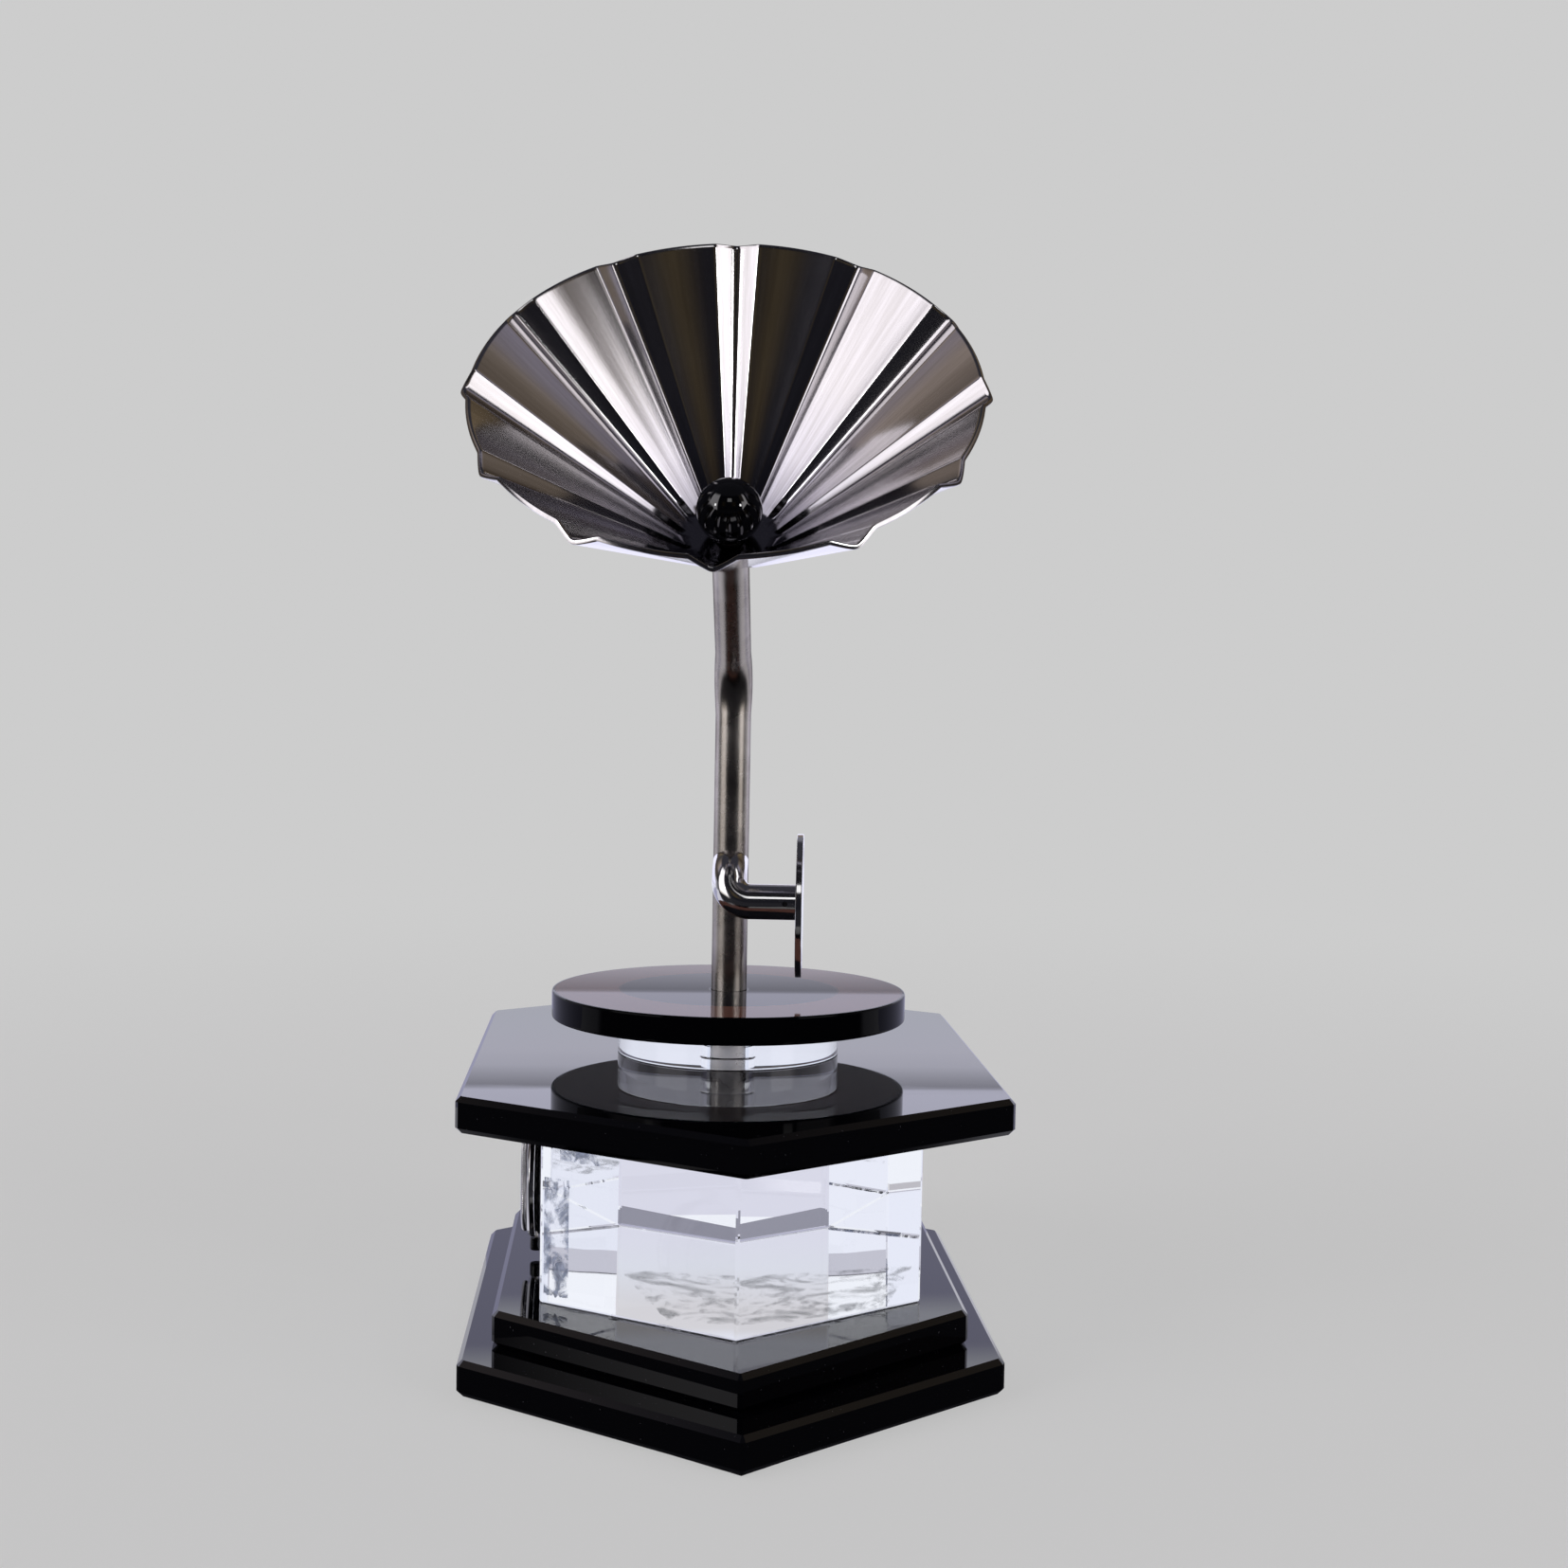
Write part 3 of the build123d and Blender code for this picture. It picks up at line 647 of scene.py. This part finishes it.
def make_bell():
    """The pleated bell, as rings of points from its bore over the rim and back to the bore."""
    bore = 1.65
    grain_radius, grain_length = 30 * MM, 60 * MM
    slope = (RIM_RADIUS - FLOOR_RADIUS) / HORN_DEPTH
    length = sqrt(1 + slope * slope)
    back_r, back_z = 1 / length, -slope / length
    half_rows = [0, 0.1, 0.2, 0.32, 0.48, 0.64, 0.8, 0.9, 0.98, 1.04, 1.12, 1.25]
    petal_rows = 8
    # Columns are (rib index, half widths from the rib, share of the way to the next rib).
    columns = []
    for petal in range(PETALS):
        columns += [(petal, q, 0.0) for q in half_rows]
        columns += [(petal, None, k / (petal_rows + 1)) for k in range(1, petal_rows + 1)]
        columns += [(petal + 1, -q, 0.0) for q in reversed(half_rows[1:])]
    count = len(columns)
    pitch = WHOLE_TURN / PETALS

    def column_angle(column, radius, width):
        rib, q, share = column
        if q is not None:
            return rib * pitch + q * width / 2 / radius
        edge = half_rows[-1] * width / 2 / radius
        return rib * pitch + edge + (pitch - 2 * edge) * share

    def wall_ring(share, offset):
        """One ring on the wall, offset backwards from its inner skin."""
        ring = []
        radius = FLOOR_RADIUS + (RIM_RADIUS - FLOOR_RADIUS) * share
        height = FLANGE_THICKNESS + HORN_DEPTH * share
        width = RIB_WIDTH_FLOOR + (RIB_WIDTH_RIM - RIB_WIDTH_FLOOR) * share
        depth = RIB_DEPTH_FLOOR + (RIB_DEPTH_RIM - RIB_DEPTH_FLOOR) * share
        for column in columns:
            a = column_angle(column, radius, width)
            near = (a - pitch * round(a / pitch)) * radius / (width / 2)
            push = depth * rib_shape(abs(near)) + offset
            r = radius + back_r * push
            ring.append((r * sin(a), r * cos(a), height + back_z * push, a, share))
        return ring

    def flat_ring(radius, height):
        """One ring on the bell's floor or on its back."""
        angles = [column_angle(column, FLOOR_RADIUS, RIB_WIDTH_FLOOR) for column in columns]
        return [(radius * sin(a), radius * cos(a), height, a, 0.0) for a in angles]

    shares = [0.045, 0.07, 0.1, 0.15, 0.22, 0.3, 0.38, 0.46, 0.54,
              0.62, 0.7, 0.78, 0.86, 0.92, 0.96, 0.985, 0.996]
    rim = [(0.9995, 0.12), (1.0, 0.3), (1.0, SHEET - 0.3), (0.9995, SHEET - 0.12)]
    floor_height = FLANGE_THICKNESS + SHEET
    rings = [flat_ring(radius, floor_height) for radius in (bore, 4.0, 6.5, 8.0)]
    rings.append(flat_ring(8.9, floor_height + 0.05))
    rings += [wall_ring(share, 0.0) for share in shares]
    rings += [wall_ring(share, offset) for share, offset in rim]
    rings += [wall_ring(share, SHEET) for share in reversed(shares)]
    rings += [flat_ring(radius, FLANGE_THICKNESS) for radius in (7.8, 5.0, bore)]
    points = [p[:3] for ring in rings for p in ring]
    faces = ring_faces(len(rings), count)
    # The grain runs round the bell in x and up the petals in y.
    uv = []
    for i in range(len(rings)):
        here, there = rings[i], rings[(i + 1) % len(rings)]
        for j in range(count):
            k = (j + 1) % count
            wrap = WHOLE_TURN if k == 0 else 0
            corners = (here[j], here[k], there[k], there[j])
            extra = (0, wrap, wrap, 0)
            uv += [((c[3] + e) * grain_radius, c[4] * grain_length) for c, e in zip(corners, extra)]
    add_piece("horn_bell_pleated", points, faces, horn_frame, "brushed_horn", "horn",
              ["horn_bell"], angle=50, uv=uv)


def make_throat():
    """The flange below the bell, and the ball on its washer."""
    flange = rounded([(STUD_BORE, 0), (7.0, 0), (7.6, 0.6), (7.6, FLANGE_THICKNESS),
                      (STUD_BORE, FLANGE_THICKNESS)], 0.25)
    add_piece("horn_flange_turned", *lathe(flange, 96), horn_frame, "satin_steel", "horn",
              ["horn_flange"])
    steps, bore_depth = 40, 5.0
    base = FLANGE_THICKNESS + SHEET + WASHER
    centre = base + BALL_RADIUS - BALL_FLAT
    lowest = asin((base - centre) / BALL_RADIUS)
    arc = [lowest + (pi / 2 - lowest) * i / steps for i in range(steps)]
    profile = [(BALL_RADIUS * cos(a), centre + BALL_RADIUS * sin(a)) for a in arc]
    profile += [(0, centre + BALL_RADIUS), (0, base + bore_depth),
                (STUD_BORE, base + bore_depth), (STUD_BORE, base)]
    add_piece("throat_ball_turned", *lathe(profile, 96), horn_frame, "black_ball", "horn",
              ["throat_ball"])


# ---------------------------------------------------------------- sound box
def make_sound_box():
    """The plate on edge over the record, with a shallow groove near its rim."""
    radius, back, front, groove, below_arm = 16, 0.5, 1.9, 1.8, 0.7
    arm_end = turn @ Vector((ARM_REACH, -ARM_FORWARD, ARM_Z))
    plane = frame_matrix(arm_end, -forward, sideways)
    disc_frame = plane @ Matrix.Translation((0, -below_arm, 0))
    profile = rounded([(0, back), (radius, back), (radius, front), (13.4, front), (13.2, groove),
                       (12.6, groove), (12.4, front), (0, front)], 0.2)
    add_piece("sound_box_plate", *lathe(profile, 160), disc_frame, "bright_chrome", "horn",
              ["sound_box_disc"])


# ---------------------------------------------------------------- clock
def make_clock():
    """Case, bezel, lens, rope ring and crown. Profiles are (radius, height off the block)."""
    case = rounded([(0, 0.5), (12.6, 0.5), (12.6, 1.0), (13.0, 1.15), (13.0, 1.9), (12.5, 2.0),
                    (12.5, 2.25), (13.0, 2.38), (13.0, 3.3), (12.2, 3.3), (12.2, 1.1), (0, 1.1)],
                   0.12)
    add_piece("clock_case_turned", *lathe(case, 160), clock_frame, "black_plastic", "stand",
              ["clock_case"])
    bezel = rounded([(13.05, 2.4), (13.6, 2.4), (13.6, 3.5), (13.0, 4.1), (10.9, 4.1),
                     (10.9, 5.2), (10.4, 5.2), (10.4, 4.6), (9.8, 4.6), (9.8, 3.6),
                     (13.05, 3.6)], 0.15)
    add_piece("clock_bezel_turned", *lathe(bezel, 192), clock_frame, "bright_chrome", "stand",
              ["clock_bezel"])
    lens = [(0, 4.62), (10.25, 4.62), (10.35, 4.72), (10.35, 4.95), (10.2, 5.05),
            (7, 5.12), (3.5, 5.17), (0, 5.19)]
    add_piece("clock_lens_domed", *lathe(lens, 128), clock_frame, "lens_glass", "stand",
              ["clock_lens"], angle=50)

    # Rope ring: strands twisted round the ring.
    around, count, strands, twists = 1120, 16, 3, 46
    ring, wire, strand_depth, middle = 11.65, 0.58, 0.13, 4.85
    points = []
    for i in range(around):
        a = WHOLE_TURN * i / around
        for j in range(count):
            b = WHOLE_TURN * j / count
            r = wire + strand_depth * cos(strands * (b + twists * a))
            out = ring + r * cos(b)
            points.append((out * cos(a), out * sin(a), middle + r * sin(b)))
    add_piece("bezel_rope_twisted", points, ring_faces(around, count), clock_frame,
              "bright_chrome", "stand", ["bezel_rope"], angle=60)

    # Crown with flutes, below the case.
    flutes, flute_depth = 18, 0.16
    crown = rounded([(0, 14.0), (1.3, 14.0), (1.44, 14.2), (1.44, 16.6), (1.25, 17.0),
                     (0, 17.0)], 0.1)

    def flute(a, radius, height):
        on_side = radius > 1.2 and 14.1 < height < 16.9
        return -flute_depth * max(0.0, cos(flutes * a)) if on_side else 0.0

    add_piece("clock_crown_fluted", *lathe(crown, 216, flute), crown_frame, "black_plastic",
              "crown", ["clock_crown"], angle=40)


# ---------------------------------------------------------------- felt foot
def make_felt():
    """The felt foot, a little fuzzy at its edge."""
    side_points, fuzz_depth, fuzz_scale = 60, 0.002, 1.7
    outline = []
    corners = hexagon(FELT_HALF_WIDTH, FELT_HALF_SIDE, FELT_TIP)
    for corner, following in zip(corners, corners[1:] + corners[:1]):
        for k in range(side_points):
            t = k / side_points
            outline.append(tuple(a * (1 - t) + b * t for a, b in zip(corner, following)))
    # Levels are (height, share of the outline).
    levels = [(0.0, 0.985), (0.02, 0.994), (0.12, 0.998), (0.5, 0.999), (0.95, 0.998), (1.0, 0.99)]
    points = []
    for height, size in levels:
        for x, y in outline:
            fuzz = 1 - fuzz_depth * abs(noise.noise(Vector((x, y, 9 * height)) * fuzz_scale))
            points.append((x * size * fuzz, y * size * fuzz, height))
    count = len(outline)
    faces = ring_faces(len(levels), count, closed=False)
    top = (len(levels) - 1) * count
    faces += [tuple(range(count - 1, -1, -1)), tuple(range(top, top + count))]
    add_piece("base_felt_cut", points, faces, upright, "felt", "stand", ["base_felt"])


make_block()
make_films()
make_drum_and_record()
make_tube()
make_bell()
make_throat()
make_sound_box()
make_clock()
make_felt()

# CAD nodes that keep their own shape take a procedural material.
slot_of = {entry["node"]: entry["material_slot"] for entry in frame["record"]["subparts"]}
for name, node in nodes.items():
    node.data.materials.clear()
    node.data.materials.append(materials[slot_of[name]])

# ---------------------------------------------------------------- studio
BACKGROUND = (0.61, 0.61, 0.61, 1)


def make_world():
    """Studio surroundings as ramps of colour over azimuth, one for each band of elevation.

    Azimuth 0 is the side the horn faces, positive towards +X.
    """
    world = bpy.data.worlds.new("studio")
    bpy.context.scene.world = world
    world.use_nodes = True
    n = Nodes(world.node_tree, empty=True)
    x, y, z = n.split(n.node("ShaderNodeTexCoord").outputs["Generated"])
    azimuth = n.azimuth(x, y)
    elevation = n.math("MULTIPLY", n.math("ARCSINE", z), 180 / pi)

    left_white, right_white = (1.58, 1.53, 1.58), (1.85, 1.8, 1.83)
    dark = (0.012, 0.012, 0.016)
    back = (0.15, 0.15, 0.18)
    shade = (0.085, 0.07, 0.06)
    glow = (0.062, 0.047, 0.025)
    side, behind = (0.6, 0.6, 0.65), (0.7, 0.7, 0.8)
    warm_back, cool_back, ceiling = (0.22, 0.18, 0.15), (0.25, 0.25, 0.3), (0.04, 0.04, 0.05)
    # Each band: elevation it starts at, softness of its start, and (azimuth, colour) stops.
    bands = [
        (-90, 1, [
            (-180, back), (-172, back), (-160, behind), (-110, side), (-84, dark),
            (-78, left_white), (-46, left_white), (-44, dark), (42, dark), (44, right_white),
            (66, right_white), (72, dark), (100, side), (160, behind), (172, back), (180, back)]),
        (12, 2, [
            (-180, warm_back), (-168, shade), (-110, shade), (-84, dark), (-78, left_white),
            (-46, left_white), (-44, dark), (-32, dark), (-23, glow), (-14, dark), (4, dark),
            (13, glow), (23, dark), (42, dark), (44, right_white), (66, right_white), (68, dark),
            (110, shade), (163, shade), (172, (0.27, 0.2, 0.15)), (180, warm_back)]),
        (27, 3, [
            (-180, cool_back), (-170, (0.07, 0.07, 0.08)), (-155, (0.18, 0.14, 0.085)),
            (-140, (0.05, 0.05, 0.055)), (-120, (0.20, 0.165, 0.14)), (-108, (0.34, 0.285, 0.25)),
            (-95, (0.27, 0.25, 0.31)), (-88, dark), (-79, dark), (-78, left_white),
            (-46, left_white), (-44, dark), (36, dark), (42, (0.09, 0.075, 0.06)),
            (54, (0.12, 0.10, 0.085)), (56, right_white), (65, right_white), (66, dark),
            (75, dark), (76, (0.26, 0.245, 0.31)), (91, (0.24, 0.22, 0.25)),
            (96, (0.21, 0.175, 0.14)), (124, (0.05, 0.036, 0.026)), (145, (0.19, 0.145, 0.085)),
            (165, (0.075, 0.07, 0.07)), (180, cool_back)]),
        (48, 5, [(-180, ceiling), (180, ceiling)]),
    ]
    studio = None
    for start, soft, stops in bands:
        band = n.azimuth_ramp(azimuth, stops)
        if studio is None:
            studio = band
        else:
            studio = n.mix(n.smooth(elevation, start - soft, start + soft), studio, band)

    # Two small bright lamps near the windows and a dim one in front:
    # azimuth, half width, elevation, half height, light.
    lamps = [(37, 3, 16, 3.5, 13.0), (-53, 3, 16, 3.5, 13.0), (-2, 8, 33, 6, 1.3)]
    for middle, half_width, level, half_height, power in lamps:
        aside = n.math("ABSOLUTE", n.math("SUBTRACT", azimuth, middle / 360 + 0.5))
        above = n.math("ABSOLUTE", n.math("SUBTRACT", elevation, level))
        aside = n.smooth(aside, (half_width - 1) / 360, (half_width + 1) / 360, 1, 0)
        above = n.smooth(above, half_height - 1, half_height + 1, 1, 0)
        studio = n.mix(n.math("MULTIPLY", aside, above), studio, (power, power, power, 1))

    # Glass sees a pale backdrop all round, a little bluer at the sides.
    middle, flank = (0.7, 0.73, 0.85), (0.88, 0.9, 1.0)
    blue, rear = (0.74, 0.78, 0.92), (0.80, 0.80, 0.86)
    tints = [(0, rear), (0.2, blue), (0.35, flank), (0.5, middle), (0.62, flank), (0.8, blue),
             (1, rear)]
    ray = n.node("ShaderNodeLightPath").outputs
    through_glass = n.background(n.ramp(azimuth, tints))
    shown = n.mix_shader(ray["Is Transmission Ray"], n.background(studio), through_glass)
    shown = n.mix_shader(ray["Is Camera Ray"], shown, n.background(BACKGROUND))
    n.link(shown, n.node("ShaderNodeOutputWorld").inputs["Surface"])


def studio_material(name):
    """An empty material: the material, its nodes, and the point being shaded."""
    material = bpy.data.materials.new(name)
    material.use_nodes = True
    n = Nodes(material.node_tree, empty=True)
    return material, n, n.node("ShaderNodeTexCoord").outputs["Object"]


def make_floor():
    """A pale floor that ends in the backdrop's colour.

    Mirrors see it pale behind the object and dark in front, and far off like the world's lowest
    band; glass sees it pale all over.
    """
    bpy.ops.mesh.primitive_circle_add(vertices=96, radius=12, fill_type="NGON", location=(0, 0, 0))
    floor = bpy.context.object
    floor.name = "studio_floor"
    material, n, place = studio_material("studio_floor")
    x, y, _ = n.split(place)
    reach = n.length(place)
    shadow_end, far_off = (0.15, 0.9), (0.8, 1.2)
    ray = n.node("ShaderNodeLightPath").outputs

    # What the camera sees: a floor that takes shadows near the object, and the backdrop beyond.
    diffuse = n.node("ShaderNodeBsdfDiffuse")
    n.link((0.35, 0.35, 0.35, 1), diffuse.inputs["Color"])
    near_floor = n.node("ShaderNodeAddShader")
    n.link(diffuse.outputs[0], near_floor.inputs[0])
    n.link(n.emission((1, 1, 1, 1), 0.48), near_floor.inputs[1])
    floor_look = n.mix_shader(n.smooth(reach, *shadow_end), near_floor.outputs[0],
                              n.emission(BACKGROUND))

    # What mirrors and glass see.
    black, white = (0.02, 0.02, 0.024), (0.95, 0.9, 0.85)
    side, behind = (0.6, 0.6, 0.65), (0.85, 0.85, 0.95)
    near = n.mix(n.smooth(y, -0.03, 0.02), (*black, 1), (0.74, 0.74, 0.83, 1))
    far = n.azimuth_ramp(n.azimuth(x, y), [
        (-180, behind), (-110, side), (-84, black), (-78, white), (-46, white), (-44, black),
        (42, black), (44, white), (66, white), (72, black), (100, side), (180, behind)])
    seen = n.mix(n.smooth(reach, *far_off), near, far)
    seen = n.emission(n.mix(ray["Is Transmission Ray"], seen, (0.92, 0.94, 1.0, 1)))

    shown = n.mix_shader(ray["Is Camera Ray"], seen, floor_look)
    n.link(shown, n.node("ShaderNodeOutputMaterial").inputs["Surface"])
    floor.data.materials.append(material)


def make_card():
    """Low reflector behind the object, which only mirrors and glass see."""
    distance, half_width, bottom, top = 0.132, 0.45, 0.0005, 0.15
    mesh = bpy.data.meshes.new("studio_card")
    corners = [(-half_width, distance, bottom), (half_width, distance, bottom),
               (half_width, distance, top), (-half_width, distance, top)]
    mesh.from_pydata(corners, [], [(0, 1, 2, 3)])
    card = bpy.data.objects.new("studio_card", mesh)
    bpy.context.scene.collection.objects.link(card)
    material, n, place = studio_material("studio_card")
    height = n.math("DIVIDE", n.split(place)["Z"], top)
    # Stops are (height in mm, colour).
    bright = (1.1, 1.1, 1.35)
    mirrored = [(0, (0.40, 0.40, 0.57)), (64, (0.48, 0.48, 0.66)), (70, (0.88, 0.90, 1.02)),
                (77, (0.90, 0.92, 1.06)), (83, (0.95, 0.96, 1.12)), (87.4, (0.98, 0.98, 1.15)),
                (92, (0.93, 0.93, 1.1)), (98.3, (0.5, 0.5, 0.6)), (98.8, bright), (150, bright)]
    refracted = [(0, (0.72, 0.72, 0.83)), (36, (0.73, 0.73, 0.84)), (46, (0.73, 0.75, 0.83)),
                 (57, (0.68, 0.67, 0.70)), (63, (0.68, 0.67, 0.70)), (66, (0.80, 0.82, 0.92)),
                 (150, (0.88, 0.9, 1.0))]

    def card_ramp(stops):
        return n.ramp(height, [(z * MM / top, color) for z, color in stops])

    ray = n.node("ShaderNodeLightPath").outputs
    color = n.mix(ray["Is Transmission Ray"], card_ramp(mirrored), card_ramp(refracted))
    shows = n.math("MAXIMUM", ray["Is Glossy Ray"], ray["Is Transmission Ray"])
    clear = n.node("ShaderNodeBsdfTransparent").outputs[0]
    shown = n.mix_shader(shows, clear, n.emission(color))
    shown = n.mix_shader(ray["Is Camera Ray"], shown, clear)
    n.link(shown, n.node("ShaderNodeOutputMaterial").inputs["Surface"])
    mesh.materials.append(material)


def make_camera():
    """Camera close in front, at the height of the tube's bend, in mm and degrees."""
    distance, height = 488.9, 152.0
    side_angle, pan, pitch, roll = (radians(v) for v in (2.37, 1.372, 3.232, 1.017))
    data = bpy.data.cameras.new("camera")
    data.sensor_width, data.lens = 36.0, 49.703927
    data.clip_start, data.clip_end = 0.01, 100
    camera = bpy.data.objects.new("camera", data)
    bpy.context.scene.collection.objects.link(camera)
    spin = Matrix.Rotation(-side_angle, 4, "Z")
    position = spin @ Vector((0, -distance, height)) * MM
    facing = Matrix.Rotation(-pan - side_angle, 4, "Z") @ Matrix.Rotation(pi / 2 - pitch, 4, "X")
    facing = facing @ Matrix.Rotation(roll, 4, "Z")
    camera.matrix_world = Matrix.Translation(position) @ facing
    bpy.context.scene.camera = camera


make_world()
make_floor()
make_card()
make_camera()
bpy.context.scene.view_settings.view_transform = "Standard"
# The block and the drum pass light on by many inner reflections.
light_paths = bpy.context.scene.cycles
light_paths.max_bounces = light_paths.glossy_bounces = light_paths.transmission_bounces = 28
light_paths.transparent_max_bounces = 24

bpy.context.view_layer.update()
